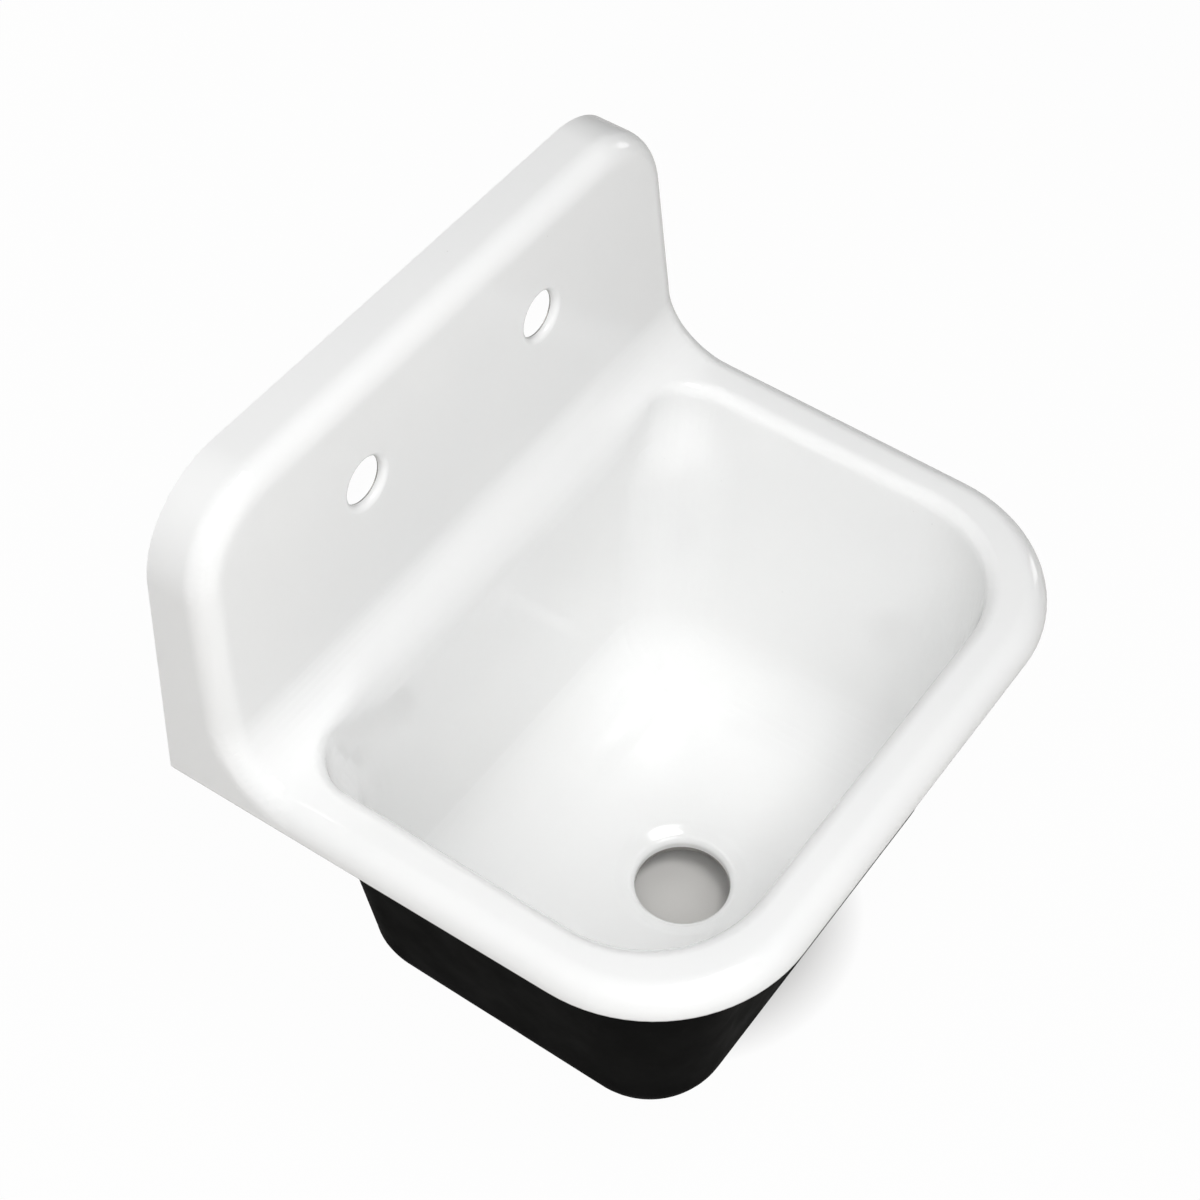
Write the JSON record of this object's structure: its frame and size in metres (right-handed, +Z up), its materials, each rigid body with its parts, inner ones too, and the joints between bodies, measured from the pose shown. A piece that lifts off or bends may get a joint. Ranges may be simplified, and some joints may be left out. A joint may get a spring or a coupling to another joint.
{
  "type": "wall-mounted sink",
  "caption": "Wall-hung enamelled cast-iron service sink with a high curved backsplash, rolled rim, empty tap and drain holes, hooked over screwed steel wall hangers.",
  "frame": {"origin": "middle of the hanger screws, on the plane of the wall", "axes": "+X to the right of a person who faces the sink, +Y into the wall, +Z up"},
  "size_m": [0.5612, 0.5036, 0.538],
  "materials": {
    "enamelled_iron": "glossy white porcelain enamel on the basin's inside, the rim and the backsplash; satin black paint on the basin's outside",
    "hanger_steel": "galvanised, dull grey with a faint spangle",
    "zinc_steel": "bright zinc plate"
  },
  "bodies": {
    "wall_fixings": {"wall_hanger_left": "hanger_steel", "wall_hanger_right": "hanger_steel", "hanger_screws": "zinc_steel", "hanger_washers": "zinc_steel"},
    "sink": {"sink_casting": "enamelled_iron"}
  },
  "joints": [
    {"name": "sink_lift", "type": "slide", "parent": "wall_fixings", "child": "sink", "axis": [0, 0, 1], "range_m": [0, 0.03]}
  ]
}
